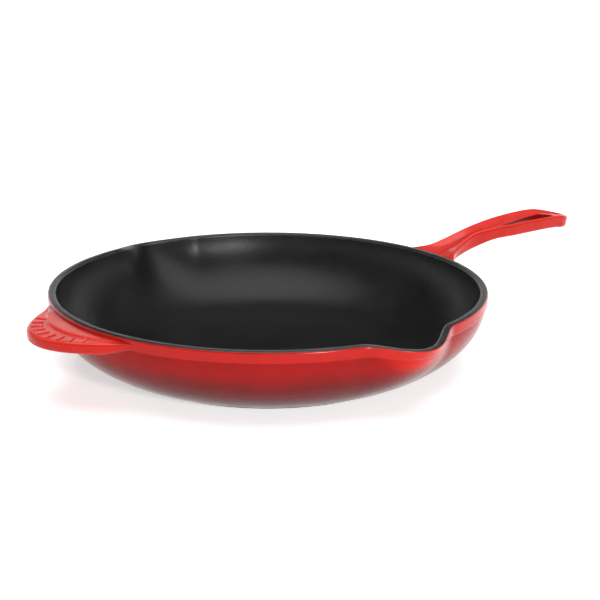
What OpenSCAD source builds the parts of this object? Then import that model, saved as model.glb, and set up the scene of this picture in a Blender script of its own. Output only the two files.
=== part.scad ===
// Enamelled cast iron skillet: one iron casting under a black and a red coat of fired enamel.
// The origin is the centre of the base, on the surface that the skillet stands on.
// +X runs along the long handle, +Z is up, and the two pouring spouts are at +Y and -Y.

/* [Pan] */
// Outside diameter of the rim
rim_d = 262; // [250:1:275]
// Height of the rim above the surface that the skillet stands on
pan_h = 46.5; // [44:0.5:50]
// Diameter of the flat base
base_d = 180; // [176:1:184]
// Height of the small step around the base
foot_h = 1.2; // [0.8:0.1:1.6]
// Diameter of the flat cooking floor
floor_d = 168; // [160:1:172]
// Thickness of the floor, enamel included
floor_t = 5.2; // [4.8:0.1:6]
// Thickness of the wall at the rim, enamel included
rim_t = 4.8; // [4.2:0.1:5.4]
// Radius on both edges of the rim
rim_round = 1.6; // [1.2:0.1:2]
// Thickness of the fired enamel
enamel_t = 0.4; // [0.3:0.05:0.5]

/* [Rim band] */
// Height of the plain band, up to the top of the rim
band_h = 6.1; // [5.5:0.1:7]
// How far the wall steps in below the band
band_step = 1; // [0.6:0.1:1.4]

/* [Pouring spouts] */
// How far each spout reaches past the rim
spout_reach = 13.4; // [10:0.1:15]
// How far each spout's lip drops below the rim
spout_drop = 3.7; // [2:0.1:4.5]
// Angle of the rim that each spout takes up
spout_angle = 28.8; // [26:0.2:29.6]

/* [Long handle] */
// Length of the long handle, from the rim to its tip
handle_l = 126; // [120:1:135]
// Width of the handle where it leaves the rim
handle_root_w = 48; // [44:1:50]
// Width of the handle at its waist
handle_waist_w = 14.8; // [13:0.2:17]
// Width of the handle at the grip
handle_grip_w = 28; // [26:0.2:30]
// How far the top of the grip stands above the rim
handle_rise = 11.9; // [9:0.1:14]
// Depth of the grip at its sides
handle_t = 8.8; // [8:0.1:10]
// Depth of the dish along the top of the handle
handle_dish = 3.2; // [2.4:0.1:3.6]
// Width of the hanging hole
hole_w = 13.6; // [11:0.2:15]
// Length of the hanging hole
hole_l = 50; // [40:1:54]
// Iron left between the hanging hole and the tip
hole_end = 9.8; // [9:0.1:12]

/* [Helper handle] */
// How far the helper handle reaches past the rim
lug_reach = 26.4; // [22:0.2:30]
// Angle of the rim that the helper handle takes up
lug_angle = 41; // [38:0.5:44]
// Drop from the rim to the shelf on top of the helper handle
lug_drop = 2.9; // [2.6:0.1:3.6]
// Thickness of the helper handle
lug_t = 6.4; // [6:0.1:8]
// Height of the crescent pad above the shelf
pad_h = 0.8; // [0.4:0.1:1]

/* [Grip ribs] */
// Number of ribs on the helper handle
rib_n = 9; // [5:2:11]
// Height of each rib above the shelf
rib_h = 0.6; // [0.4:0.1:0.8]
// Width of each rib
rib_w = 1.6; // [1.2:0.1:1.8]

/* [Hidden] */
$fn = 180;
IRON = "dimgray";
RED = "firebrick";
BLACK = [0.16, 0.16, 0.16];

rim_r = rim_d / 2;
base_r = base_d / 2;
floor_r = floor_d / 2;
band_z = pan_h - band_h;
wall_r = rim_r - band_step;
bore_r = rim_r - rim_t;

// ---- Curves -----------------------------------------------------------------------------------

function bezier(p, t) =
    pow(1 - t, 3) * p[0] + 3 * pow(1 - t, 2) * t * p[1] + 3 * (1 - t) * t * t * p[2] + t * t * t * p[3];
function bezier_points(p, n) = [for (i = [0:n]) bezier(p, i / n)];
function arc_points(centre, r, from, to, n) =
    [for (i = [0:n]) let (a = from + (to - from) * i / n) centre + r * [cos(a), sin(a)]];
function reversed(v) = [for (i = [len(v) - 1:-1:0]) v[i]];
function slice(v, from, to) = [for (i = [from:to]) v[i]];
function unit(v) = v / norm(v);
function outward(p, q) = let (d = unit(q - p)) [d.y, -d.x];

// Moves point i of an open outline inwards by t, square to both of the edges that meet there.
function inset_point(v, i, t) =
    let (a = outward(v[max(i - 1, 0)], v[max(i, 1)]),
         b = outward(v[min(i, len(v) - 2)], v[min(i + 1, len(v) - 1)]))
    v[i] - t * (a + b) / (1 + a * b);
function inset_outline(v, t) = [for (i = [0:len(v) - 1]) inset_point(v, i, t)];

// ---- Section of the pan, from the centre of its underside round the rim to the centre of its floor

curve_steps = 8;
under = [[0, 0], [base_r - 0.5, 0], [base_r, 0.5]];
wall = bezier_points([[base_r, foot_h], [base_r + 8.8, foot_h + 1.1],
                      [wall_r - 0.7, 0.42 * band_z], [wall_r, band_z - 0.8]], curve_steps);
band = [[rim_r, band_z], [rim_r, pan_h - rim_round]];
rim = concat(slice(arc_points([rim_r - rim_round, pan_h - rim_round], rim_round, 0, 90, 2), 1, 2),
             arc_points([bore_r + rim_round, pan_h - rim_round], rim_round, 90, 180, 2));
inside = reversed(bezier_points([[floor_r, floor_t], [floor_r + 14, floor_t],
                                 [bore_r - 1.6, 0.44 * pan_h], [bore_r, pan_h - rim_round]], curve_steps));
skin = concat(under, wall, band, rim, slice(inside, 1, curve_steps), [[0, floor_t]]);
iron = inset_outline(skin, enamel_t);

// Where each part of the section starts
foot_at = 1;
wall_at = len(under);
band_at = wall_at + len(wall);
rim_at = band_at + len(band);
inside_at = rim_at + len(rim);
last_at = len(skin) - 1;
// The floor of the casting ends at floor_edge, and its wall is cut in two half way up its curve.
floor_edge = iron[last_at - 1];
cut_outside = wall_at + curve_steps / 2;
cut_inside = inside_at - 1 + curve_steps / 2;

// Gives each point its depth into the wall, counted from the outside at the rim.
function with_depth(v, i, t) =
    [v[i].x, v[i].y, i < rim_at ? t : i < inside_at ? rim_r - v[i].x : rim_t - t];
function skin_points(from, to) = [for (i = [from:to]) with_depth(skin, i, 0)];
function iron_points(from, to) = [for (i = [from:to]) with_depth(iron, i, enamel_t)];
function coat(from, to) = concat(skin_points(from, to), reversed(iron_points(from, to)));

// ---- Pouring spouts: the section bulges outwards and drops within spout_angle of +Y and -Y ------

spout_steps = 12;
plain_steps = 24;
spout_floor = floor_t + 1;

// Angles round the pan, close together in the spouts and wider apart on the plain sides
round_angles = [for (side = [0, 180]) each concat(
    [for (k = [0:spout_steps - 1]) side + 90 + spout_angle * (k / spout_steps - 0.5)],
    [for (k = [0:plain_steps - 1]) side + 90 + spout_angle / 2 + (180 - spout_angle) * k / plain_steps])];

// Share of the full spout at an angle from its middle, and its slope along the rim
function spout(a) = abs(a) < spout_angle / 2 ? pow(cos(180 * a / spout_angle), 1.64) : 0;
function spout_slope(a) = (spout(a + 0.1) - spout(a - 0.1)) * spout_reach / (rim_r * 0.2 * PI / 180);
// Share of the spout at a height, from none near the floor to all of it at the rim
function spout_share(z) = pow(min(max((z - spout_floor) / (pan_h - spout_floor), 0), 1), 1.6);
// A wall that runs at a slant to the rim keeps its thickness by being wider along the radius.
function spout_widening(a) = sqrt(1 + pow(spout_slope(a), 2)) - 1;

// Angle from the middle of the nearer spout
function from_spout(a) = (a + 360) % 180 - 90;
function spout_point(p, a) =
    let (share = spout_share(p.y), bulge = from_spout(a),
         r = p.x + share * (spout_reach * spout(bulge) - spout_widening(bulge) * p.z),
         z = p.y - share * spout_drop * spout(bulge))
    [r * cos(a), r * sin(a), z];

// A ring with this section that bulges out into the spouts. Points on the axis are shared.
module ring(section) {
    n = len(section);
    turns = len(round_angles);
    function at(k, j) = section[j % n].x == 0 ? j % n : (k % turns) * n + j % n;
    faces = [for (k = [0:turns - 1]) for (j = [0:n - 1])
        for (face = [[at(k, j), at(k, j + 1), at(k + 1, j + 1)], [at(k, j), at(k + 1, j + 1), at(k + 1, j)]])
            if (face[0] != face[1] && face[1] != face[2] && face[2] != face[0]) face];
    polyhedron([for (a = round_angles) for (p = section) spout_point(p, a)], faces);
}

// The half of such a ring on one side of both handles, closed at its two ends
module half_ring(section, side) {
    n = len(section);
    turns = len(round_angles);
    steps = turns / 2;
    start = side == "left" ? turns - plain_steps / 2 : steps - plain_steps / 2;
    function at(k, j) = k * n + j % n;
    function angle(k) = round_angles[(start + k) % turns];
    faces = [for (k = [0:steps - 1]) for (j = [0:n - 1])
        for (face = [[at(k, j), at(k, j + 1), at(k + 1, j + 1)], [at(k, j), at(k + 1, j + 1), at(k + 1, j)]])
            face];
    ends = [[for (j = [n - 1:-1:0]) at(0, j)], [for (j = [0:n - 1]) at(steps, j)]];
    polyhedron([for (k = [0:steps]) for (p = section) spout_point(p, angle(k))], concat(faces, ends));
}

// ---- Outside of the bowl where the handles join it, flat between two neighbouring round angles ----

facet = (180 - spout_angle) / plain_steps;
outside = [for (p = slice(skin, wall_at, rim_at - 1)) [p.y, p.x]];
// Radius of the outside at a height, and along a line at an angle from the handles' middle plane
function facet_middle(a) = (floor(abs(a) / facet) + 0.5) * facet;
function outside_r(z, a) = lookup(z, outside) * cos(facet / 2) / cos(abs(a) - facet_middle(a));
// Distance of the outside from the plane through the axis, square to the handle, at a width and a height
function outside_x(y, z) = min([for (k = [0:3]) let (m = (k + 0.5) * facet)
    (lookup(z, outside) * cos(facet / 2) - abs(y) * sin(m)) / cos(m)]);

// ---- Long handle: half sections along it, mirrored, with the hanging hole between the halves -----

tip_r = handle_grip_w / 2;
hole_r = hole_w / 2;
hole_to = handle_l - hole_end;
hole_from = hole_to - hole_l;

// Distance from the rim, half width, top and underside below or above the rim, depth of the dish
stations = [
    [-2, handle_root_w / 2 + 2, -2.2, -17, 0.3 * handle_dish],
    [1, handle_root_w / 2 - 1, -2.2, -15, 0.35 * handle_dish],
    [5, handle_root_w / 2 - 5.5, -1.2, -10.5, 0.5 * handle_dish],
    [12, handle_waist_w / 2 + 5.2, 0.8, -7, 0.7 * handle_dish],
    [24, handle_waist_w / 2 + 1.2, 5.1, -4.7, 0.85 * handle_dish],
    [36, handle_waist_w / 2, handle_rise - 3.4, -2.3, 0.95 * handle_dish],
    [52, 0.55 * handle_waist_w / 2 + 0.4 * tip_r, handle_rise - 1.7, 1.4, handle_dish],
    [70, tip_r - 1.6, handle_rise - 0.7, handle_rise - 0.7 - handle_t, handle_dish],
    [94, tip_r, handle_rise, handle_rise - handle_t, handle_dish],
    [110, tip_r, handle_rise - 0.4, handle_rise - 0.4 - handle_t, 0.8 * handle_dish],
    [handle_l, tip_r, handle_rise - 3.4, handle_rise - 2.8 - handle_t, 0.5 * handle_dish]];

function span(d, i) = i >= len(stations) - 2 || d < stations[i + 1][0] ? i : span(d, i + 1);
function grade(i, c) =
    let (p = stations[max(i - 1, 0)], q = stations[min(i + 1, len(stations) - 1)]) (q[c] - p[c]) / (q[0] - p[0]);
// Smooth value of a column of the stations at a distance d from the rim
function along(d, c) =
    let (i = span(d, 0), p = stations[i], q = stations[i + 1], w = q[0] - p[0], t = (d - p[0]) / w)
    bezier([p[c], p[c] + grade(i, c) * w / 3, q[c] - grade(i + 1, c) * w / 3, q[c]], t);

function handle_half(d, t) =
    let (tip_at = handle_l - tip_r, past = min(max(d - tip_at, 0) / (tip_r - t), 1))
    (along(d, 1) - t) * sqrt(1 - past * past);
function hole_half(d, t) =
    let (r = hole_r + t, start = hole_from - t, bend = hole_to - hole_r)
    d <= start || d >= hole_to + t - 0.001 ? 0
    : d < bend ? r * pow(sin(90 * (d - start) / (bend - start)), 1.3)
    : sqrt(r * r - pow(d - bend, 2));

// Distances of the sections, set in by t: even steps, then round both the hole's end and the tip
function handle_distances(t) =
    let (bend = hole_to - hole_r, r = hole_r + t, tip_at = handle_l - tip_r, first = asin((hole_to + t - tip_at) / (tip_r - t)))
    concat([-2, 1.5, 4, 7, 10, 14, 19, 24, 30, 36, 44, 52, 59],
           [for (k = [0:7]) hole_from - t + (bend - hole_from + t) * k / 8],
           [for (a = [0:22.5:90]) bend + r * sin(a)],
           [for (k = [1:6]) tip_at + (tip_r - t) * sin(first + (84 - first) * k / 6)]);

// Half of one section, from the hole's edge on top, over the side, to the hole's edge underneath
function handle_section(d, t) =
    let (w = handle_half(d, t), h = hole_half(d, t), dish = along(d, 4),
         top = pan_h + along(d, 2) - t, low = pan_h + along(d, 3) + t,
         ridge = h + 0.8 * (w - h), r = min(2, 0.4 * (w - h)), low_r = min(2.6, 0.45 * (w - h)), side = low_r * 0.3)
    [[h, top - dish], [h + 0.5 * (ridge - h), top - 0.62 * dish], [ridge - 0.2 * r, top - 0.12],
     each [for (a = [90, 45, 0]) [w - r + r * cos(a), top - r + r * sin(a)]],
     each [for (a = [0, 45, 90]) [w - side - low_r + low_r * cos(a), low + low_r - low_r * sin(a)]],
     [h, low]];

// Points of both halves, with the mirrored half after the first in each section. The first section
// lies on the outside of the bowl, and the others are square to the handle.
function handle_row(d, half) =
    [for (side = [1, -1]) for (p = half) [d < 0 ? outside_x(p.x, p.y) : rim_r + d, side * p.x, p.y]];
function handle_points(t) = [for (d = handle_distances(t)) each handle_row(d, handle_section(d, t))];
section_n = len(handle_section(0, 0));
row_n = 2 * section_n;
handle_rows = len(handle_distances(0));

function quad(a, b, c, d, flip) = flip ? [[a, c, b], [a, d, c]] : [[a, b, c], [a, c, d]];
// Faces between the rows of one skin. The wall of the hole is left out where there is no hole.
function skin_faces(base, distances, t, flip) = [
    for (k = [0:handle_rows - 2]) for (side = [0, 1]) for (j = [0:section_n - 1])
        if (j < section_n - 1 || hole_half(distances[k], t) + hole_half(distances[k + 1], t) > 0)
            let (a = base + k * row_n + side * section_n + j,
                 b = base + k * row_n + side * section_n + (j + 1) % section_n)
            each quad(a, b, b + row_n, a + row_n, flip != (side == 1))];
// A flat face across the last row, and one across the first
function half_end(base, flip) = let (f = [for (j = [0:section_n - 1]) base + j]) flip ? f : reversed(f);

module handle_body(t) {
    tip = (handle_rows - 1) * row_n;
    polyhedron(handle_points(t), concat(
        skin_faces(0, handle_distances(t), t, false),
        [half_end(0, false), half_end(section_n, true), half_end(tip, true), half_end(tip + section_n, false)]));
}

// The coat on the handle: two skins joined by a narrow face round the first row
module handle_coat() {
    inner = handle_rows * row_n;
    tip = (handle_rows - 1) * row_n;
    polyhedron(concat(handle_points(0), handle_points(enamel_t)), concat(
        skin_faces(0, handle_distances(0), 0, false),
        skin_faces(inner, handle_distances(enamel_t), enamel_t, true),
        [half_end(tip, true), half_end(tip + section_n, false)],
        [half_end(inner + tip, false), half_end(inner + tip + section_n, true)],
        [for (side = [0, 1]) for (j = [0:section_n - 2]) let (a = side * section_n + j)
            each quad(a, inner + a, inner + a + 1, a + 1, side == 1)]));
}

// ---- Helper handle: sections along the radius, swept round the rim -------------------------------

lug_edge = 2;
shelf_z = pan_h - lug_drop;
lug_angles = [-lug_angle / 2, each [for (k = [-9:9]) k * facet / 3], lug_angle / 2];
lug_end = 0.6;             // how far its ends stand out from the wall
// How far the edge reaches past the rim at an angle from the middle
function lug_out(a) = lug_end + (lug_reach - lug_end) * pow(max(cos(180 * a / lug_angle), 0), 1.4);
// How far the pad reaches past the rim
function pad_out(a) = 0.42 * lug_reach * pow(max(cos(225 * a / lug_angle), 0), 0.8);

// Open outline of one section, from the wall over the top and the edge to the wall underneath
function lug_outline(a, t) =
    let (out = lug_out(a) - t, full = min(out / 10, 1), r = min(lug_edge - t / 2, 0.3 * out),
         top = shelf_z - t, low = full * (shelf_z - lug_t) + (1 - full) * band_z + t,
         pad = min(max(pad_out(a) - t, 0.3 * out), 0.45 * out), pad_z = top + pad_h * full,
         heel = 0.25 * out, foot_z = low - 2.6 * full)
    [[outside_r(pad_z, a), pad_z], [rim_r + pad, pad_z], [rim_r + pad + min(1, 0.2 * out), top],
     each [for (b = [90, 45, 0]) [rim_r + out - r + r * cos(b), top - r + r * sin(b)]],
     each [for (b = [0, 45, 90]) [rim_r + out - r + r * cos(b), low + r - r * sin(b)]],
     [rim_r + heel, low - 0.2 * full], [outside_r(foot_z, a), foot_z]];
function round_lug(section, a) = [for (p = section) [p.x * cos(180 + a), p.x * sin(180 + a), p.y]];

// A closed skin through a row of sections, with faces across its two ends
module loft(rows, end) {
    n = len(rows[0]);
    last = (len(rows) - 1) * n;
    sides = [for (k = [0:len(rows) - 2]) for (j = [0:n - 1]) let (a = k * n + j, b = k * n + (j + 1) % n)
        each quad(a, a + n, b + n, b, false)];
    polyhedron([for (row = rows) each row],
               concat(sides, end, [for (face = end) [for (i = reversed(face)) last + i]]));
}
module lug_body(t) {
    rows = [for (a = lug_angles) round_lug(lug_outline(a, t), a)];
    loft(rows, [[for (j = [0:len(rows[0]) - 1]) j]]);
}
module lug_coat() {
    rows = [for (a = lug_angles) round_lug(concat(lug_outline(a, 0), reversed(lug_outline(a, enamel_t))), a)];
    n = len(rows[0]);
    loft(rows, [for (j = [0:n / 2 - 2]) each quad(j, j + 1, n - 2 - j, n - 1 - j, false)]);
}

// The ribs fan out from a point inside the rim, between the pad and the edge of the shelf.
rib_l = 5.4;
rib_fan = 100;
rib_centre = -rim_r + 12;
rib_from = lug_reach + 12 - lug_edge - 2 - rib_l;

// ---- Sub-parts -----------------------------------------------------------------------------------

// The flat floor of the casting
module cast_floor() {
    color(IRON) translate([0, 0, enamel_t]) linear_extrude(floor_edge.y - enamel_t)
        polygon([for (a = round_angles) floor_edge.x * [cos(a), sin(a)]]);
}

// One side of the casting from the edge of the floor to half way up the curve of the wall
module cast_lower_wall(side) {
    color(IRON) half_ring(concat([[floor_edge.x, enamel_t, 0]], iron_points(foot_at, cut_outside),
                                 iron_points(cut_inside, last_at - 1)), side);
}

// One side of the upper half of the casting's wall, with the rim and a spout
module cast_upper_wall(side) {
    color(IRON) half_ring(iron_points(cut_outside, cut_inside), side);
}

// The iron of the long handle, from the outside of the bowl to the tip
module cast_long_handle() {
    color(IRON) handle_body(enamel_t);
}

// The iron of the helper handle
module cast_helper_handle() {
    color(IRON) lug_body(enamel_t);
}

// One rib, along +X, with round ends
module rib() {
    linear_extrude(rib_h) {
        circle(rib_w / 2);
        translate([rib_l, 0]) circle(rib_w / 2);
        translate([0, -rib_w / 2]) square([rib_l, rib_w]);
    }
}

// Plain raised ribs across the shelf of the helper handle
module grip_ribs() {
    for (i = [0:rib_n - 1]) {
        a = (i / (rib_n - 1) - 0.5) * rib_fan;
        color(RED) translate([rib_centre, 0, shelf_z]) rotate(180 + a) translate([rib_from, 0, 0]) rib();
    }
}

// Black coat under the base: the flat face that the skillet stands on
module base_enamel() {
    color(BLACK) rotate_extrude() polygon([for (p = coat(0, foot_at)) [p.x, p.y]]);
}

// Graduated red coat on the outside of the wall, from the edge of the base to the band
module wall_enamel() {
    color(RED) ring(coat(foot_at, band_at));
}

// Red coat on the band, up to the middle of the rim's outer edge
module band_enamel() {
    color(RED) ring(coat(band_at, rim_at));
}

// Black coat over the top of the rim
module rim_enamel() {
    color(BLACK) ring(coat(rim_at, inside_at - 1));
}

// Satin black coat on the inside of the wall and on the cooking floor
module interior_enamel() {
    color(BLACK) ring(coat(inside_at - 1, last_at));
}

// Red coat on the long handle and through its hanging hole
module long_handle_enamel() {
    color(RED) handle_coat();
}

// Red coat on the helper handle
module helper_handle_enamel() {
    color(RED) lug_coat();
}

cast_floor();
cast_lower_wall("left");  // cast_lower_wall_left
cast_lower_wall("right");  // cast_lower_wall_right
cast_upper_wall("left");  // cast_upper_wall_left
cast_upper_wall("right");  // cast_upper_wall_right
cast_long_handle();
cast_helper_handle();
grip_ribs();
base_enamel();
wall_enamel();
band_enamel();
rim_enamel();
interior_enamel();
long_handle_enamel();
helper_handle_enamel();
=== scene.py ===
# An enamelled cast iron skillet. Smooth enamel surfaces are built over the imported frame,
# coloured with procedural materials and lit as on a pale studio table.
import math

import bmesh
import bpy
import numpy as np
from mathutils import Matrix, Vector


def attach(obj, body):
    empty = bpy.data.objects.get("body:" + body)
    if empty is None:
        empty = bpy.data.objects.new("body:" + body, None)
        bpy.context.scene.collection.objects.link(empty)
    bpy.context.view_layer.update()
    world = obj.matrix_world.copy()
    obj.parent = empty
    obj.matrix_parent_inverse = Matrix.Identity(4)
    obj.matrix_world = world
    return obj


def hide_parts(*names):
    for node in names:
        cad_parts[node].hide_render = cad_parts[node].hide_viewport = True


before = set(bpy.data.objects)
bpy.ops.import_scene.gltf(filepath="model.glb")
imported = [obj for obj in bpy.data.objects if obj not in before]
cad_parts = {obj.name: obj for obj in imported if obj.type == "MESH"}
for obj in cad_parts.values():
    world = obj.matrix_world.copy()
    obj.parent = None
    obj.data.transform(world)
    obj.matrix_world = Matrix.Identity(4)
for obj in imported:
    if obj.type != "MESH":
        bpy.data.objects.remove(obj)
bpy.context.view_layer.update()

MM = 0.001

# ---- Sizes in millimetres, the same as in the part's source ------------------------------------

RIM_R = 131.0
PAN_H = 46.5
BASE_R = 90.0
FOOT_H = 1.2
FOOT_ROUND = 0.6
FLOOR_R = 84.0
FLOOR_T = 5.2
RIM_T = 4.8
RIM_ROUND = 1.6
ENAMEL_T = 0.4
BAND_Z = 40.4
STEP_H = 0.8
WALL_R = 130.0
BORE_R = RIM_R - RIM_T
RIM_CENTRE_Z = PAN_H - RIM_ROUND
# Angle on the rim's outer rounding, in degrees, up to which it is red
RED_UP_TO = 40

SPOUT_REACH = 13.4
SPOUT_DROP = 3.7
SPOUT_ANGLE = 28.8
SPOUT_FLOOR = FLOOR_T + 1.0
SPOUT_STEPS = 56
PLAIN_STEPS = 132


# ---- Curves -------------------------------------------------------------------------------------

def bezier(points, steps, start=0.0):
    """Points of a Bezier curve of any degree, from the parameter start to 1."""
    t = np.linspace(start, 1.0, steps + 1)[:, None]
    level = [np.array(p, float) + 0 * t for p in points]
    while len(level) > 1:
        level = [a * (1 - t) + b * t for a, b in zip(level, level[1:])]
    return level[0]


def arc(centre_r, centre_z, radius, start, end, steps):
    """Points on an arc, from one angle to another in degrees."""
    a = np.radians(np.linspace(start, end, steps + 1))
    return np.stack([centre_r + radius * np.cos(a), centre_z + radius * np.sin(a)], 1)


def rounded_corner(before, corner, after, radius, steps):
    """Points on an arc that rounds one corner of an outline."""
    before, corner, after = (np.array(p, float) for p in (before, corner, after))
    back = (before - corner) / np.linalg.norm(before - corner)
    ahead = (after - corner) / np.linalg.norm(after - corner)
    half = math.acos(float(np.dot(back, ahead))) / 2
    reach = radius / math.tan(half)
    return bezier([corner + back * reach, corner, corner + ahead * reach], steps)


def smoothstep(low, high, x):
    t = np.clip((x - low) / (high - low), 0, 1)
    return t * t * (3 - 2 * t)


# ---- Outline of the pan: (radius, height) from the centre of the base round to the floor --------

def make_outline():
    """The outline in five stretches, one for each coat. Each starts where the last one ends."""
    under_step = (WALL_R, BAND_Z - STEP_H)
    wall_curve = bezier([(BASE_R, FOOT_H), (BASE_R + 8.8, FOOT_H + 1.1),
                         (WALL_R - 0.7, 0.42 * BAND_Z), under_step], 40, 0.023)
    over_step = (RIM_R, BAND_Z)
    crease = rounded_corner(wall_curve[-3], under_step, over_step, 0.7, 5)
    edge = rounded_corner(under_step, over_step, (RIM_R, PAN_H), 0.45, 5)
    base = np.stack([np.linspace(0, BASE_R - FOOT_ROUND, 16), np.zeros(16)], 1)
    wall = np.concatenate([arc(BASE_R - FOOT_ROUND, FOOT_ROUND, FOOT_ROUND, -90, 0, 6),
                           arc(BASE_R + FOOT_ROUND, 0.66, FOOT_ROUND, 180, 97, 6)[1:],
                           wall_curve[:-1], crease])
    band = np.concatenate([crease[-1:], edge,
                           np.stack([np.full(4, RIM_R),
                                     np.linspace(BAND_Z + 0.5, RIM_CENTRE_Z - 0.5, 4)], 1),
                           arc(RIM_R - RIM_ROUND, RIM_CENTRE_Z, RIM_ROUND, 0, RED_UP_TO, 5)])
    rim = np.concatenate([arc(RIM_R - RIM_ROUND, RIM_CENTRE_Z, RIM_ROUND, RED_UP_TO, 90, 6),
                          arc(BORE_R + RIM_ROUND, RIM_CENTRE_Z, RIM_ROUND, 90, 180, 10)])
    inner = bezier([(BORE_R, RIM_CENTRE_Z), (BORE_R - 1.6, 0.44 * PAN_H),
                    (FLOOR_R + 14, FLOOR_T), (FLOOR_R, FLOOR_T)], 44)
    floor = np.stack([np.linspace(FLOOR_R, 0, 22), np.full(22, FLOOR_T)], 1)[1:]
    return base, wall, band, rim, np.concatenate([inner, floor])


base_line, wall_line, band_line, rim_line, inner_line = make_outline()
outside_line = np.concatenate([wall_line, band_line, rim_line[:4]])


def outside_radius(z):
    """Radius of the outside of the bowl at a height, away from the spouts."""
    return np.interp(z, outside_line[8:, 1], outside_line[8:, 0])


def outside_slope(z):
    """How fast the outside widens with the height."""
    return (outside_radius(z + 0.2) - outside_radius(z - 0.2)) / 0.4


# ---- Pouring spouts -----------------------------------------------------------------------------

def round_angles():
    """Angles round the pan in degrees, close together in the spouts."""
    angles = []
    for side in (0, 180):
        spout = side + 90 + SPOUT_ANGLE * (np.arange(SPOUT_STEPS) / SPOUT_STEPS - 0.5)
        plain = side + 90 + SPOUT_ANGLE / 2
        plain = plain + (180 - SPOUT_ANGLE) * np.arange(PLAIN_STEPS) / PLAIN_STEPS
        angles += [spout, plain]
    return np.concatenate(angles)


def spout_shape(a):
    """Share of the full spout at an angle from its middle."""
    inside = np.abs(a) < SPOUT_ANGLE / 2
    within = np.clip(a, -SPOUT_ANGLE / 2, SPOUT_ANGLE / 2)
    wave = np.cos(np.radians(180 * within / SPOUT_ANGLE))
    return np.where(inside, np.maximum(wave, 0) ** 1.64, 0)


def into_spouts(outline, depth, angles):
    """Turns an outline round the axis, bulging and dropping it in the spouts."""
    a = ((angles + 360) % 180 - 90)[:, None]
    r, z = outline[None, :, 0], outline[None, :, 1]
    shape = spout_shape(a)
    slope = (spout_shape(a + 0.1) - spout_shape(a - 0.1)) * SPOUT_REACH
    slope = slope / (RIM_R * math.radians(0.2))
    widening = np.sqrt(1 + slope ** 2) - 1
    share = np.clip((z - SPOUT_FLOOR) / (PAN_H - SPOUT_FLOOR), 0, 1) ** 1.6
    radius = r + share * (SPOUT_REACH * shape - widening * depth[None, :])
    turn = np.radians(angles)[:, None]
    return np.stack([radius * np.cos(turn), radius * np.sin(turn),
                     z - share * SPOUT_DROP * shape], 2)


# ---- Mesh making --------------------------------------------------------------------------------

# Faces that meet at more than this angle, in degrees, have a sharp edge between them.
CREASE = 38


def inset(line, distance):
    """Moves an open outline inwards, to the left of its direction."""
    step = np.gradient(line, axis=0)
    step = step / np.linalg.norm(step, axis=1)[:, None]
    moved = line + distance * np.stack([-step[:, 1], step[:, 0]], 1)
    moved[:, 0] = np.where(line[:, 0] < 0.001, 0, moved[:, 0])
    return moved


def grid_faces(rows, columns, wrap_rows=False, wrap_columns=False, base=0):
    faces = []
    for k in range(rows if wrap_rows else rows - 1):
        for j in range(columns if wrap_columns else columns - 1):
            a = base + k * columns + j
            b = base + k * columns + (j + 1) % columns
            c = base + (k + 1) % rows * columns + (j + 1) % columns
            d = base + (k + 1) % rows * columns + j
            faces.append((a, b, c, d))
    return faces


def make_piece(name, points, faces, material, nodes, crease=CREASE, same_turn=False):
    """A welded, smooth-shaded piece with sharp edges only where its faces really turn.

    Faces that all turn the same way already are left as they are with same_turn.
    """
    mesh = bpy.data.meshes.new(name)
    mesh.from_pydata((np.asarray(points).reshape(-1, 3) * MM).tolist(), [], faces)
    shape = bmesh.new()
    shape.from_mesh(mesh)
    bmesh.ops.remove_doubles(shape, verts=shape.verts, dist=0.000004)
    bmesh.ops.dissolve_degenerate(shape, edges=shape.edges, dist=0.000002)
    if not same_turn:
        bmesh.ops.recalc_face_normals(shape, faces=shape.faces)
    # An open skin can still be inside out. Its upper faces should look up.
    middle = sum(vertex.co.z for vertex in shape.verts) / len(shape.verts)
    upward = sum(face.normal.z * face.calc_area() * (face.calc_center_median().z - middle)
                 for face in shape.faces)
    if upward < 0:
        bmesh.ops.reverse_faces(shape, faces=shape.faces)
    for face in shape.faces:
        face.smooth = True
    for edge in shape.edges:
        edge.smooth = edge.calc_face_angle(0.0) < math.radians(crease)
    shape.to_mesh(mesh)
    shape.free()
    piece = bpy.data.objects.new(name, mesh)
    bpy.context.scene.collection.objects.link(piece)
    piece.data.materials.append(material)
    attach(piece, "root")
    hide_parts(*nodes)
    return piece


def ring_piece(name, line, depth_of, material, node):
    """A coat of enamel with this outline, turned round the pan."""
    back = inset(line, ENAMEL_T)
    keep = np.unique(np.append(np.arange(0, len(line), 3), len(line) - 1))
    back = back[keep][::-1]
    outline = np.concatenate([line, back])
    depth = np.concatenate([depth_of(line, 0.0), depth_of(back, ENAMEL_T)])
    angles = round_angles()
    points = into_spouts(outline, depth, angles)
    faces = grid_faces(len(angles), len(outline), True, True)
    return make_piece(name, points, faces, material, [node])


def make_bowl_core(outline, iron):
    """The smooth iron bowl under the coats, which stands for the floor and wall of the casting."""
    line = inset(outline, ENAMEL_T)
    depth = np.clip(RIM_R - line[:, 0], ENAMEL_T, RIM_T - ENAMEL_T)
    outer_half = len(outline) // 2
    depth[:outer_half] = ENAMEL_T
    angles = round_angles()
    points = into_spouts(line, depth, angles)
    faces = grid_faces(len(angles), len(line), True, False)
    make_piece("iron_bowl", points, faces, iron,
               ["cast_floor", "cast_lower_wall_left", "cast_lower_wall_right",
                "cast_upper_wall_left", "cast_upper_wall_right"])


def make_handle_core(skin, name, iron, node, same_turn=False):
    """The iron under a handle's skin, open where the bowl hides it."""
    core = bmesh.new()
    core.from_mesh(skin.data)
    core.normal_update()
    for vertex, normal in [(v, v.normal.copy()) for v in core.verts]:
        vertex.co -= normal * ENAMEL_T * MM
    points = [tuple(v.co / MM) for v in core.verts]
    faces = [tuple(v.index for v in face.verts) for face in core.faces]
    core.free()
    make_piece(name, points, faces, iron, [node], CREASE, same_turn)


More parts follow.
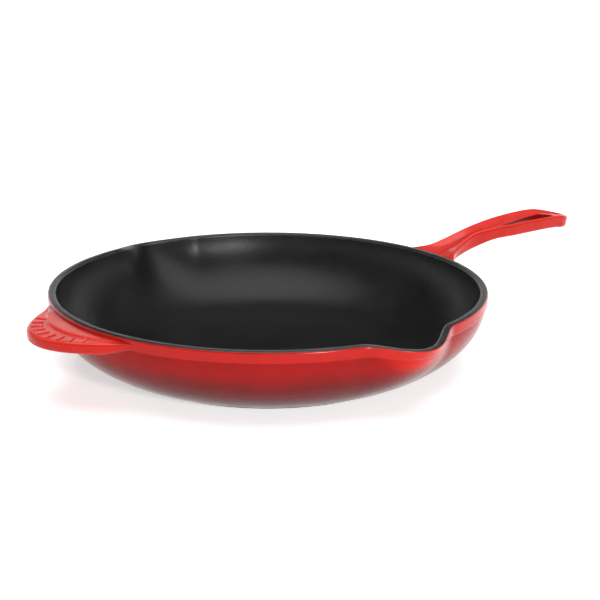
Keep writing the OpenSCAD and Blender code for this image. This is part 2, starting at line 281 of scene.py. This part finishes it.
# Depth of each point of a coat into the wall, counted from the outside of the rim. Points on the
# underside of the coat lie deeper below its surface.

def outer_depth(line, below):
    return np.full(len(line), below)


def band_depth(line, below):
    return np.where(line[:, 1] > RIM_CENTRE_Z, RIM_R - line[:, 0], below)


def rim_depth(line, below):
    return RIM_R - line[:, 0]


def inner_depth(line, below):
    return np.full(len(line), RIM_T - below)


# ---- Root fillets: a skin that leaves the bowl flares out onto it -------------------------------

def onto_bowl(points):
    """Moves points straight out from the axis onto the outside of the bowl."""
    r = np.hypot(points[..., 0], points[..., 1])
    scale = outside_radius(points[..., 2]) / r
    return np.stack([points[..., 0] * scale, points[..., 1] * scale, points[..., 2]], -1)


def bowl_normal(points):
    r = np.hypot(points[..., 0], points[..., 1])
    normal = np.stack([points[..., 0] / r, points[..., 1] / r, -outside_slope(points[..., 2])], -1)
    return normal / np.linalg.norm(normal, axis=-1)[..., None]


def at_length(path, length):
    """The point at a distance along a path, and the distances of all its points."""
    step = np.linalg.norm(np.diff(path, axis=0), axis=1)
    run = np.concatenate([[0], np.cumsum(step)])
    return np.stack([np.interp(length, run, path[:, i]) for i in range(3)], -1), run


def with_fillet(rows, middle, radius, blend_rows, top_z):
    """Rows of a skin whose first row lies on the bowl, with a fillet between the two.

    The skin is resampled up to the row blend_rows, so that no row folds back.
    """
    first = rows[0]
    normal = bowl_normal(first)
    along = np.gradient(first, axis=0)
    length = np.linalg.norm(along, axis=1)[:, None]
    along = np.where(length < 0.0001, np.array([0.0, 1.0, 0.0]), along / np.maximum(length, 0.0001))
    away = np.cross(normal, along)
    away = away / np.linalg.norm(away, axis=1)[:, None]
    sign = np.sign(np.sum(away * (first - middle), axis=1))
    away = away * sign[:, None]
    room = np.where(away[:, 2] > 0.05, (top_z - first[:, 2]) / np.maximum(away[:, 2], 0.05), 99)
    reach = np.minimum(radius, np.maximum(room, 0.15))
    foot = onto_bowl(first + away * reach[:, None])
    hem = onto_bowl(first + away * (reach * 1.35)[:, None])
    hem = hem - 0.03 * bowl_normal(hem)
    columns = []
    for j in range(len(first)):
        path = rows[:blend_rows + 1, j]
        head, run = at_length(path, reach[j])
        curve = bezier([foot[j], first[j], head], 7)
        rest, run = at_length(path, np.linspace(reach[j], run[-1], 14)[1:])
        columns.append(np.concatenate([hem[j][None], curve, rest]))
    return np.concatenate([np.stack(columns, 1), rows[blend_rows + 1:]])


# ---- Long handle --------------------------------------------------------------------------------

TIP_AT = 112.0
TIP_R = 14.0
HOLE_R = 6.8
HOLE_FROM = 66.2
HOLE_BEND = 109.4
# From here to the tip, points are spaced evenly along the hole's edge and the outer edge.
EVEN_FROM = 104

# Distance from the rim, half width, top and underside relative to the rim, depth of the dish
STATIONS = np.array([
    [-2, 26, -2.2, -17, 0.96],
    [1, 23, -2.2, -15, 1.12],
    [5, 18.5, -1.2, -10.5, 1.6],
    [12, 12.6, 0.8, -7, 2.24],
    [24, 8.6, 5.1, -4.7, 2.72],
    [36, 7.4, 8.5, -2.3, 3.04],
    [52, 9.67, 10.2, 1.4, 3.2],
    [70, 12.4, 11.2, 2.4, 3.2],
    [94, 14, 11.9, 3.1, 3.2],
    [110, 14, 11.5, 2.7, 2.56],
    [126, 14, 8.5, 0.3, 1.6]])


def along_handle(d, column):
    """Smooth value of a column of the stations at a distance from the rim."""
    s, v = STATIONS[:, 0], STATIONS[:, column]
    last = len(STATIONS) - 1
    order = np.arange(last + 1)
    before, after = np.maximum(order - 1, 0), np.minimum(order + 1, last)
    grade = (v[after] - v[before]) / (s[after] - s[before])
    i = int(np.clip(np.searchsorted(s, d, side="right") - 1, 0, last - 1))
    w = s[i + 1] - s[i]
    t = (d - s[i]) / w
    p = [v[i], v[i] + grade[i] * w / 3, v[i + 1] - grade[i + 1] * w / 3, v[i + 1]]
    return (p[0] * (1 - t) ** 3 + 3 * p[1] * t * (1 - t) ** 2
            + 3 * p[2] * t * t * (1 - t) + p[3] * t ** 3)


def hole_half(d):
    """Half the width of the drop-shaped hole, before its round end."""
    if d <= HOLE_FROM:
        return 0.0
    return HOLE_R * math.sin(math.pi / 2 * min((d - HOLE_FROM) / (HOLE_BEND - HOLE_FROM), 1)) ** 1.3


def plan_rows():
    """Pairs of plan points, (distance, half width), on the hole's edge and on the outer edge."""
    straight = np.concatenate([[-2], np.arange(0.5, 12, 0.75), np.arange(12, 60, 1.6),
                               np.linspace(60, HOLE_FROM - 0.3, 6)])
    drop = HOLE_FROM + (EVEN_FROM - HOLE_FROM) * np.linspace(0.004, 1, 36) ** 1.5
    rows = [((d, hole_half(d)), (d, along_handle(d, 1))) for d in np.append(straight, drop)]
    hole_path = [(d, hole_half(d)) for d in np.linspace(EVEN_FROM, HOLE_BEND, 12)]
    outer_path = [(d, along_handle(d, 1)) for d in np.linspace(EVEN_FROM, TIP_AT, 12)]
    for a in np.radians(np.linspace(0, 90, 30)[1:]):
        hole_path.append((HOLE_BEND + HOLE_R * math.sin(a), HOLE_R * math.cos(a)))
        outer_path.append((TIP_AT + TIP_R * math.sin(a), TIP_R * math.cos(a)))
    even = []
    for path in (hole_path, outer_path):
        path = np.array(path)
        run = np.concatenate([[0], np.cumsum(np.linalg.norm(np.diff(path, axis=0), axis=1))])
        want = np.linspace(0, run[-1], 40)[1:]
        even.append(np.stack([np.interp(want, run, path[:, i]) for i in range(2)], 1))
    return rows + list(zip(*even))


def handle_profile(length, top, low, dish, hole):
    """(distance from the hole's edge, height) pairs round one half of the section."""
    crest = min(1.7, 0.4 * length)
    foot = min(2.6, 0.42 * length)
    draft = foot * 0.3
    lip = min(0.8, 0.5 * hole)
    ridge = length - crest * 0.92
    s = np.linspace(0, 1, 18)
    over = np.stack([lip + s * (ridge - lip), top - dish * (1 - s ** 1.5)], 1)
    ease = (over[-1, 1] - over[-2, 1]) * 0.35
    over[-1, 1] -= ease
    bend = arc(length - crest, top - crest, crest, 82, 0, 7)
    belly = arc(length - draft - foot, low + foot, foot, 0, -90, 7)
    side = bezier([bend[-1], belly[0]], 5)[1:-1]
    under = bezier([belly[-1], (lip, low)], 6)[1:]
    floor_of_dish = top - dish
    lip_over = arc(lip, floor_of_dish - lip, lip, 180, 90, 4)[:-1]
    lip_under = arc(lip, low + lip, lip, -90, -180, 4)[1:]
    wall = bezier([lip_under[-1], lip_over[0]], 4)[1:-1]
    return np.concatenate([lip_over, over, bend, side, belly, under, lip_under, wall])


def handle_rows():
    """Rows of half sections from the bowl to the tip, and which rows cut through the hole."""
    rows, open_rows = [], []
    for hole_edge, outer_edge in plan_rows():
        inner, outer = np.array(hole_edge), np.array(outer_edge)
        length = np.linalg.norm(outer - inner)
        direction = (outer - inner) / length
        hole = inner[1] if inner[0] < HOLE_BEND else HOLE_R
        middle = (inner[0] + outer[0]) / 2
        heights = [PAN_H + along_handle(middle, c) for c in (2, 3)]
        profile = handle_profile(length, heights[0], heights[1], along_handle(middle, 4), hole)
        plan = inner + profile[:, :1] * direction
        tops = [along_handle(d, 2) - along_handle(middle, 2) for d in plan[:, 0]]
        lows = [along_handle(d, 3) - along_handle(middle, 3) for d in plan[:, 0]]
        share = (profile[:, 1] - heights[1]) / (heights[0] - heights[1])
        z = profile[:, 1] + share * tops + (1 - share) * lows
        rows.append(np.stack([RIM_R + plan[:, 0], plan[:, 1], z], 1))
        open_rows.append(hole > 0)
    rows = np.array(rows)
    rows[0] = onto_handle_plane(rows[0])
    return rows, open_rows


def onto_handle_plane(row):
    """Moves the first row along the handle until it lies on the bowl."""
    radius = outside_radius(row[:, 2])
    return np.stack([np.sqrt(radius ** 2 - row[:, 1] ** 2), row[:, 1], row[:, 2]], 1)


def make_long_handle(material):
    """Both mirrored halves. The wall of the hole is left out where there is no hole."""
    rows, open_rows = handle_rows()
    wall_points = 3
    count = rows.shape[1]
    solid = count - wall_points
    middle = np.array([RIM_R - 2, 0, PAN_H - 9])
    body = with_fillet(rows, middle, 2.6, 16, RIM_CENTRE_Z - 0.05)
    extra = len(body) - len(rows)
    is_open = [False] * extra + open_rows
    faces = []
    for side in (0, 1):
        base = side * body.shape[0] * count
        for k in range(len(body) - 1):
            through = is_open[k] or is_open[k + 1]
            for j in range(count):
                if j >= solid - 1 and not through:
                    continue
                a, b = base + k * count + j, base + k * count + (j + 1) % count
                faces.append((a, b, b + count, a + count))
    mirrored = body * np.array([1, -1, 1])
    points = np.concatenate([body.reshape(-1, 3), mirrored.reshape(-1, 3)])
    return make_piece("long_handle_skin", points, faces, material,
                      ["long_handle_enamel"], 50)


# ---- Helper handle ------------------------------------------------------------------------------

LUG_ANGLE = 41.0
LUG_REACH = 26.4
LUG_EDGE = 2.0
LUG_T = 6.4
# How far its ends stand out from the bowl, and how far it has to stand out to be full thickness
LUG_END = 0.6
LUG_FULL_AT = 10
LUG_BOW = 4.2
SHELF_Z = 43.6
PAD_H = 0.8


def lug_profile(a):
    """(radius, height) pairs round one section of the helper handle, at an angle from its middle."""
    wave = max(math.cos(math.radians(180 * a / LUG_ANGLE)), 0)
    fade = float(smoothstep(0.0, 1.6, LUG_ANGLE / 2 - abs(a)))
    out = LUG_END * fade + (LUG_REACH - LUG_END) * wave ** 1.4 - 0.04
    full = min(out / LUG_FULL_AT, 1)
    full = full * full * (3 - 2 * full) if full > 0 else 0
    edge = min(LUG_EDGE, 0.3 * max(out, 0.05))
    top = SHELF_Z
    low = full * (SHELF_Z - LUG_T) + (1 - full) * BAND_Z + 0.1
    pad_wave = max(math.cos(math.radians(225 * a / LUG_ANGLE)), 0) ** 0.8
    pad = min(max(0.42 * LUG_REACH * pad_wave, 0.3 * out), 0.45 * out)
    pad_top = top + PAD_H * full
    drop = min(1.1, 0.2 * out)
    wall_top = float(outside_radius(pad_top))
    crease = bezier([(wall_top - 0.03, pad_top + 0.4), (wall_top, pad_top + 0.02),
                     (wall_top + 0.4 * full, pad_top)], 4)
    on_pad = bezier([crease[-1], (RIM_R + pad - 0.2 * drop, pad_top)], 7)[1:]
    step = bezier([on_pad[-1], (RIM_R + pad + 0.1 * drop, pad_top),
                   (RIM_R + pad + 0.3 * drop, top), (RIM_R + pad + drop, top)], 8)[1:]
    shelf = bezier([step[-1], (RIM_R + out - edge, top)], 10)[1:]
    over = arc(RIM_R + out - edge, top - edge, edge, 90, 0, 7)[1:]
    under = arc(RIM_R + out - edge, low + edge, edge, 0, -90, 7)
    heel = min(6.0, 0.5 * max(out, 0.1))
    foot_z = low - LUG_BOW * full
    foot_r = float(outside_radius(foot_z))
    flat = bezier([under[-1], (RIM_R + heel, low)], 7)[1:]
    bow = bezier([flat[-1], (RIM_R + 0.1 * heel, low), (foot_r, low - 0.3 * full),
                  (foot_r, foot_z)], 9)[1:]
    return np.concatenate([crease, on_pad, step, shelf, over, under, flat, bow])


def make_helper_handle(material):
    """One skin from end to end. Its sections are closer together near both ends."""
    end = LUG_ANGLE / 2 - 0.1
    angles = np.concatenate([np.linspace(-end, -15, 14)[:-1], np.linspace(-15, 15, 61),
                             np.linspace(15, end, 14)[1:]])
    sections = []
    for a in angles:
        profile = lug_profile(a)
        turn = math.radians(180 + a)
        sections.append(np.stack([profile[:, 0] * math.cos(turn), profile[:, 0] * math.sin(turn),
                                  profile[:, 1]], 1))
    sections = np.array(sections)
    faces = grid_faces(len(angles), sections.shape[1])
    return make_piece("helper_handle_skin", sections, faces, material,
                      ["helper_handle_enamel"], 60, True)


# ---- Raised grip marks --------------------------------------------------------------------------

def make_grip_marks(material):
    """Plain raised ribs, fanned out over the shelf, each with a rounded top."""
    count, fan, half, length, height = 9, 100, 0.8, 5.4, 0.6
    inside_rim = 12
    centre = -RIM_R + inside_rim
    start = LUG_REACH + inside_rim - LUG_EDGE - 2 - length
    loops = [(0.0, -0.08), (0.0, 0.1), (0.14, 0.36), (0.36, 0.54), (0.6, height), (0.795, height)]
    a = np.radians(np.linspace(0, 360, 29)[:-1])
    points, faces = [], []
    for i in range(count):
        turn = math.radians(180 + (i / (count - 1) - 0.5) * fan)
        base = len(points)
        for inward, z in loops:
            x = start + np.where(np.cos(a) > 0, length, 0) + (half - inward) * np.cos(a)
            y = (half - inward) * np.sin(a)
            points += list(zip(centre + x * math.cos(turn) - y * math.sin(turn),
                               x * math.sin(turn) + y * math.cos(turn),
                               np.full(len(a), SHELF_Z + z)))
        faces += grid_faces(len(loops), len(a), False, True, base)
        last = base + (len(loops) - 1) * len(a)
        faces.append(tuple(range(last, last + len(a))))
        faces.append(tuple(range(base + len(a) - 1, base - 1, -1)))
    return make_piece("grip_marks", points, faces, material, ["grip_ribs"], 70)


# ---- Materials ----------------------------------------------------------------------------------

class Nodes:
    """A material's node tree, with short calls for the nodes that the enamels share."""

    def __init__(self, name):
        self.material = bpy.data.materials.new(name)
        self.material.use_nodes = True
        self.tree = self.material.node_tree
        self.shader = self.tree.nodes["Principled BSDF"]
        self.place = self.add("ShaderNodeTexCoord").outputs["Object"]

    def add(self, kind, **settings):
        node = self.tree.nodes.new(kind)
        for key, value in settings.items():
            setattr(node, key, value)
        return node

    def link(self, source, socket):
        self.tree.links.new(source, socket)

    def noise(self, per_metre, detail=3.0, roughness=0.5):
        node = self.add("ShaderNodeTexNoise")
        self.link(self.place, node.inputs["Vector"])
        node.inputs["Scale"].default_value = per_metre
        node.inputs["Detail"].default_value = detail
        node.inputs["Roughness"].default_value = roughness
        return node.outputs["Fac"]

    def ramp(self, value, stops):
        """A colour or grey for each value. A stop is (position, colour)."""
        node = self.add("ShaderNodeValToRGB")
        node.color_ramp.interpolation = "EASE"
        marks = node.color_ramp.elements
        while len(marks) < len(stops):
            marks.new(0.5)
        for mark, (position, colour) in zip(marks, stops):
            mark.position = position
            mark.color = (*colour, 1.0)
        self.link(value, node.inputs["Fac"])
        return node.outputs["Color"]

    def spread(self, value, low, high, to_low, to_high):
        """Maps a range of one value smoothly to a range of another."""
        node = self.add("ShaderNodeMapRange", interpolation_type="SMOOTHSTEP")
        for socket, number in zip(("From Min", "From Max", "To Min", "To Max"),
                                  (low, high, to_low, to_high)):
            node.inputs[socket].default_value = number
        self.link(value, node.inputs["Value"])
        return node.outputs["Result"]

    def math(self, operation, a, b):
        node = self.add("ShaderNodeMath", operation=operation)
        for socket, value in zip(node.inputs, (a, b)):
            if isinstance(value, (int, float)):
                socket.default_value = value
            else:
                self.link(value, socket)
        return node.outputs["Value"]

    def mix(self, factor, a, b, blend="MIX"):
        node = self.add("ShaderNodeMix", data_type="RGBA", blend_type=blend)
        for socket, value in ((node.inputs[0], factor), (node.inputs[6], a), (node.inputs[7], b)):
            if isinstance(value, tuple):
                socket.default_value = (*value, 1.0)
            elif isinstance(value, (int, float)):
                socket.default_value = value
            else:
                self.link(value, socket)
        return node.outputs[2]

    def bump(self, layers):
        """Bumps on bumps. A layer is (height, strength, distance in metres)."""
        normal = None
        for height, strength, distance in layers:
            node = self.add("ShaderNodeBump")
            node.inputs["Strength"].default_value = strength
            node.inputs["Distance"].default_value = distance
            self.link(height, node.inputs["Height"])
            if normal is not None:
                self.link(normal, node.inputs["Normal"])
            normal = node.outputs["Normal"]
        self.link(normal, self.shader.inputs["Normal"])

    def height_and_radius(self):
        parts = self.add("ShaderNodeSeparateXYZ")
        self.link(self.place, parts.inputs[0])
        x, y, z = parts.outputs
        radius = self.math("SQRT", self.math("ADD", self.math("MULTIPLY", x, x),
                                             self.math("MULTIPLY", y, y)), 0.0)
        return z, radius

    def facing_up(self):
        """How far the surface faces up or down, from 1 to -1."""
        surface = self.add("ShaderNodeNewGeometry")
        parts = self.add("ShaderNodeSeparateXYZ")
        self.link(surface.outputs["Normal"], parts.inputs[0])
        return parts.outputs[2]

    def hanging_hole_shade_mask(self):
        """Mask for painted shade: 1 on the wall of the hanging hole and 0 elsewhere."""
        parts = self.add("ShaderNodeSeparateXYZ")
        self.link(self.place, parts.inputs[0])
        x, y = parts.outputs[0], parts.outputs[1]
        across = self.math("LESS_THAN", self.math("ABSOLUTE", y, 0.0), (HOLE_R + 0.3) * MM)
        along = self.math("MULTIPLY", self.math("GREATER_THAN", x, (RIM_R + HOLE_FROM - 1) * MM),
                          self.math("LESS_THAN", x, (RIM_R + HOLE_BEND + HOLE_R + 0.3) * MM))
        upright = self.math("LESS_THAN", self.math("ABSOLUTE", self.facing_up(), 0.0), 0.5)
        return self.math("MULTIPLY", self.math("MULTIPLY", across, along), upright)


# Reds of the enamel. The handles are painted brighter on faces that look up, as painted top light.
HANDLE_PAINTED_TOP_LIGHT_RED = (0.70, 0.045, 0.036)
HANDLE_RED = (0.42, 0.009, 0.004)
BAND_RED = (0.37, 0.006, 0.003)
# Painted shade for the wall of the hanging hole
HOLE_PAINTED_SHADE_RED = (0.16, 0.004, 0.003)
TOP_RED = (0.25, 0.006, 0.005)
MIDDLE_RED = (0.115, 0.005, 0.005)
DEEP_RED = (0.075, 0.005, 0.006)
FOOT_RED = (0.03, 0.004, 0.005)


def red_enamel(name, gloss):
    """Glossy red glass, bright on the handles and the band, and darker down the wall, with painted
    top light on the handles' upper faces and painted shade on the wall of the hanging hole.
    """
    n = Nodes(name)
    z, radius = n.height_and_radius()
    waver = n.math("MULTIPLY", n.math("SUBTRACT", n.noise(28.0, 2.0), 0.5), 0.010)
    height = n.math("ADD", z, waver)
    wall = n.ramp(n.spread(height, 0.0, (BAND_Z - 0.4) * MM, 0.0, 1.0),
                  [(0.0, FOOT_RED), (0.06, DEEP_RED), (0.5, MIDDLE_RED), (1.0, TOP_RED)])
    on_band = n.spread(z, (BAND_Z - 1.2) * MM, (BAND_Z - 0.2) * MM, 0.0, 1.0)
    colour = n.mix(on_band, wall, BAND_RED)
    # Painted top light: faces of the handles that look up get a lighter red than their sides.
    painted_top_light = n.spread(n.facing_up(), 0.35, 0.9, 0.0, 1.0)
    handle = n.mix(painted_top_light, HANDLE_RED, HANDLE_PAINTED_TOP_LIGHT_RED)
    on_handle = n.spread(radius, (RIM_R + 0.2) * MM, (RIM_R + 6) * MM, 0.0, 1.0)
    colour = n.mix(on_handle, colour, handle)
    # Painted shade: the wall of the hanging hole is darkened.
    colour = n.mix(n.hanging_hole_shade_mask(), colour, HOLE_PAINTED_SHADE_RED)
    mottle = n.ramp(n.noise(90.0, 4.0), [(0.3, (0.90, 0.90, 0.90)), (0.7, (1.0, 1.0, 1.0))])
    colour = n.mix(1.0, colour, mottle, "MULTIPLY")
    specks = n.ramp(n.noise(2600.0, 1.0), [(0.24, (0.72, 0.72, 0.72)), (0.34, (1.0, 1.0, 1.0))])
    n.link(n.mix(0.6, colour, n.mix(1.0, colour, specks, "MULTIPLY")), n.shader.inputs["Base Color"])
    n.link(n.spread(n.noise(70.0, 3.0), 0.3, 0.7, 0.13, 0.22), n.shader.inputs["Roughness"])
    n.shader.inputs["Specular IOR Level"].default_value = gloss
    n.bump([(n.noise(75.0, 2.0), 0.20, 0.0006), (n.noise(900.0, 2.0), 0.08, 0.00008)])
    return n.material


def satin_black():
    """Satin black enamel with a fine orange peel and faint cloudy marks from firing."""
    n = Nodes("satin_black_enamel")
    clouds = n.noise(22.0, 5.0, 0.6)
    colour = n.ramp(clouds, [(0.32, (0.009, 0.0091, 0.0095)), (0.68, (0.014, 0.0141, 0.0146))])
    grain = n.ramp(n.noise(2400.0, 2.0), [(0.35, (0.80, 0.80, 0.80)), (0.65, (1.0, 1.0, 1.0))])
    n.link(n.mix(1.0, colour, grain, "MULTIPLY"), n.shader.inputs["Base Color"])
    n.link(n.spread(clouds, 0.3, 0.7, 0.34, 0.42), n.shader.inputs["Roughness"])
    n.shader.inputs["Specular IOR Level"].default_value = 0.22
    n.bump([(n.noise(420.0, 2.0), 0.25, 0.00025), (n.noise(1300.0, 3.0), 0.5, 0.00014)])
    return n.material


def rim_black():
    """Black enamel on the rim, a little greyer and rougher in worn patches."""
    n = Nodes("rim_black_enamel")
    wear = n.noise(160.0, 5.0, 0.65)
    colour = n.ramp(wear, [(0.35, (0.012, 0.012, 0.012)), (0.7, (0.026, 0.027, 0.025))])
    n.link(colour, n.shader.inputs["Base Color"])
    n.link(n.spread(wear, 0.3, 0.7, 0.30, 0.44), n.shader.inputs["Roughness"])
    n.shader.inputs["Specular IOR Level"].default_value = 0.35
    n.bump([(n.noise(500.0, 3.0), 0.25, 0.0002), (n.noise(1800.0, 2.0), 0.2, 0.00008)])
    return n.material


def dark_base():
    """Dark enamel under the base, slightly matt, with fine pores and rub marks from hobs."""
    n = Nodes("base_dark_enamel")
    rub = n.noise(60.0, 6.0, 0.7)
    colour = n.ramp(rub, [(0.35, (0.022, 0.010, 0.010)), (0.7, (0.05, 0.022, 0.02))])
    n.link(colour, n.shader.inputs["Base Color"])
    n.link(n.spread(rub, 0.3, 0.7, 0.32, 0.5), n.shader.inputs["Roughness"])
    n.bump([(n.noise(1200.0, 3.0), 0.3, 0.0001), (n.noise(150.0, 2.0), 0.15, 0.0003)])
    return n.material


def cast_iron():
    """Bare casting under the enamel: dark, rough and sandy."""
    n = Nodes("cast_iron")
    sand = n.noise(1400.0, 6.0, 0.7)
    colour = n.ramp(sand, [(0.3, (0.07, 0.07, 0.074)), (0.7, (0.15, 0.148, 0.15))])
    n.link(colour, n.shader.inputs["Base Color"])
    n.shader.inputs["Metallic"].default_value = 0.85
    n.link(n.spread(sand, 0.3, 0.7, 0.55, 0.8), n.shader.inputs["Roughness"])
    n.bump([(sand, 0.6, 0.0002), (n.noise(250.0, 3.0), 0.3, 0.0005)])
    return n.material


# ---- The pieces ---------------------------------------------------------------------------------

red = red_enamel("red_enamel", 0.2)
graduated_red = red_enamel("graduated_red_enamel", 0.1)
black_inside = satin_black()
black_rim = rim_black()
iron = cast_iron()

ring_piece("base_disc", base_line, outer_depth, dark_base(), "base_enamel")
ring_piece("bowl_outside", wall_line, outer_depth, graduated_red,
           "wall_enamel")
ring_piece("rim_band", band_line, band_depth, red, "band_enamel")
ring_piece("rim_edge", rim_line, rim_depth, black_rim, "rim_enamel")
ring_piece("bowl_inside", inner_line, inner_depth, black_inside,
           "interior_enamel")
long_skin = make_long_handle(red)
helper_skin = make_helper_handle(red)
make_grip_marks(red)
whole_line = np.concatenate([base_line[::3], wall_line[1::2], band_line[1::2], rim_line[1::2],
                             inner_line[1::2], inner_line[-1:]])
make_bowl_core(whole_line, iron)
make_handle_core(long_skin, "iron_long_handle", iron, "cast_long_handle")
make_handle_core(helper_skin, "iron_helper_handle", iron, "cast_helper_handle", True)


# ---- Floor, light and camera --------------------------------------------------------------------

LAMP_TARGET = (0.0, 0.0, 0.03)


def make_floor():
    """A wide pale table top that curls up gently at its far edge."""
    mesh = bpy.data.meshes.new("floor")
    rings = np.concatenate([[0.0], np.geomspace(0.05, 9.0, 48)])
    turns = np.radians(np.linspace(0, 360, 97)[:-1])
    rise = np.maximum(rings - 4.0, 0) ** 2 * 0.12
    gap = 0.00002
    points = [(r * math.cos(a), r * math.sin(a), z - gap)
              for r, z in zip(rings, rise) for a in turns]
    mesh.from_pydata(points, [], grid_faces(len(rings), len(turns), False, True))
    for face in mesh.polygons:
        face.use_smooth = True
    floor = bpy.data.objects.new("floor", mesh)
    bpy.context.scene.collection.objects.link(floor)
    n = Nodes("pale_floor")
    n.link(n.ramp(n.noise(3.0, 3.0), [(0.3, (0.90, 0.90, 0.90)), (0.7, (0.93, 0.93, 0.93))]),
           n.shader.inputs["Base Color"])
    n.shader.inputs["Emission Color"].default_value = (1.0, 1.0, 1.0, 1.0)
    n.shader.inputs["Emission Strength"].default_value = 0.55
    n.shader.inputs["Roughness"].default_value = 0.8
    n.shader.inputs["Specular IOR Level"].default_value = 0.1
    mesh.materials.append(n.material)


def aim(holder, azimuth, elevation, distance):
    """Points a lamp at the pan from a direction seen from the pan."""
    a, e = math.radians(azimuth), math.radians(elevation)
    away = Vector((math.sin(a) * math.cos(e), -math.cos(a) * math.cos(e), math.sin(e)))
    holder.location = Vector(LAMP_TARGET) + away * distance
    holder.rotation_euler = (-away).to_track_quat("-Z", "Y").to_euler()
    bpy.context.scene.collection.objects.link(holder)


def add_soft_sun(name, azimuth, elevation, strength, spread):
    """An even light from a wide round patch of sky."""
    lamp = bpy.data.lights.new(name, "SUN")
    lamp.energy = strength
    lamp.angle = math.radians(spread)
    aim(bpy.data.objects.new(name, lamp), azimuth, elevation, 2.0)


def add_softbox(name, azimuth, elevation, distance, width, height, watts):
    lamp = bpy.data.lights.new(name, "AREA")
    lamp.shape = "RECTANGLE"
    lamp.size = width
    lamp.size_y = height
    lamp.energy = watts
    aim(bpy.data.objects.new(name, lamp), azimuth, elevation, distance)


# Parts of the studio: direction, where each starts and is full, and its strength. The first is
# full in every direction.
UP = (0.0, 0.0, 1.0)
BACK = (0.614, 0.789, 0.0)
RIGHT = (0.789, -0.614, 0.0)
LEFT = (-0.789, 0.614, 0.0)
STUDIO_PARTS = [(UP, -2.0, -1.5, 0.08), (UP, 0.2, 1.0, 0.4), (BACK, 0.3, 0.9, 0.5),
                (RIGHT, 0.6, 1.0, 0.9), (LEFT, 0.6, 1.0, 0.9)]


def make_world():
    """A white backdrop for the camera, and a dimmer studio round the object, brighter overhead."""
    world = bpy.data.worlds.new("studio")
    bpy.context.scene.world = world
    world.use_nodes = True
    tree = world.node_tree
    studio = tree.nodes["Background"]
    place = tree.nodes.new("ShaderNodeTexCoord")

    def towards(direction, low, high, strength):
        """A brighter part of the studio in one direction."""
        facing = tree.nodes.new("ShaderNodeVectorMath")
        facing.operation = "DOT_PRODUCT"
        facing.inputs[1].default_value = direction
        tree.links.new(place.outputs["Generated"], facing.inputs[0])
        level = tree.nodes.new("ShaderNodeMapRange")
        level.interpolation_type = "SMOOTHSTEP"
        tree.links.new(facing.outputs["Value"], level.inputs["Value"])
        for socket, number in zip(("From Min", "From Max", "To Max"), (low, high, strength)):
            level.inputs[socket].default_value = number
        return level.outputs["Result"]

    total = None
    for part in STUDIO_PARTS:
        level = towards(*part)
        if total is None:
            total = level
            continue
        both = tree.nodes.new("ShaderNodeMath")
        tree.links.new(total, both.inputs[0])
        tree.links.new(level, both.inputs[1])
        total = both.outputs[0]
    tree.links.new(total, studio.inputs["Strength"])
    backdrop = tree.nodes.new("ShaderNodeBackground")
    rays = tree.nodes.new("ShaderNodeLightPath")
    choice = tree.nodes.new("ShaderNodeMixShader")
    tree.links.new(rays.outputs["Is Camera Ray"], choice.inputs[0])
    tree.links.new(studio.outputs[0], choice.inputs[1])
    tree.links.new(backdrop.outputs[0], choice.inputs[2])
    tree.links.new(choice.outputs[0], tree.nodes["World Output"].inputs["Surface"])
    backdrop.inputs["Color"].default_value = (1.0, 1.0, 1.0, 1.0)


def make_camera():
    """The camera at the angle and distance of a product shot, from the helper handle's side."""
    azimuth, elevation, roll = (math.radians(a) for a in (-37.857, 16.368, 0.40))
    target = Vector((-0.00698, -0.03974, PAN_H * MM))
    distance = 0.8074
    back = Vector((math.sin(azimuth) * math.cos(elevation),
                   -math.cos(azimuth) * math.cos(elevation), math.sin(elevation)))
    right = Vector((0, 0, 1)).cross(back).normalized()
    up = back.cross(right)
    tilted_right = right * math.cos(roll) + up * math.sin(roll)
    tilted_up = up * math.cos(roll) - right * math.sin(roll)
    lens = bpy.data.cameras.new("camera")
    lens.lens = 84.0
    lens.sensor_width = 36.0
    lens.clip_start = 0.01
    lens.clip_end = 60.0
    camera = bpy.data.objects.new("camera", lens)
    turn = Matrix((tilted_right, tilted_up, back)).transposed()
    camera.matrix_world = Matrix.Translation(target + back * distance) @ turn.to_4x4()
    bpy.context.scene.collection.objects.link(camera)
    bpy.context.scene.camera = camera


make_floor()
make_world()
add_soft_sun("overhead", 0, 86, 2.4, 60)
add_softbox("front_right", -12, 16, 1.5, 0.22, 0.22, 14.0)
make_camera()
bpy.context.scene.view_settings.view_transform = "Standard"
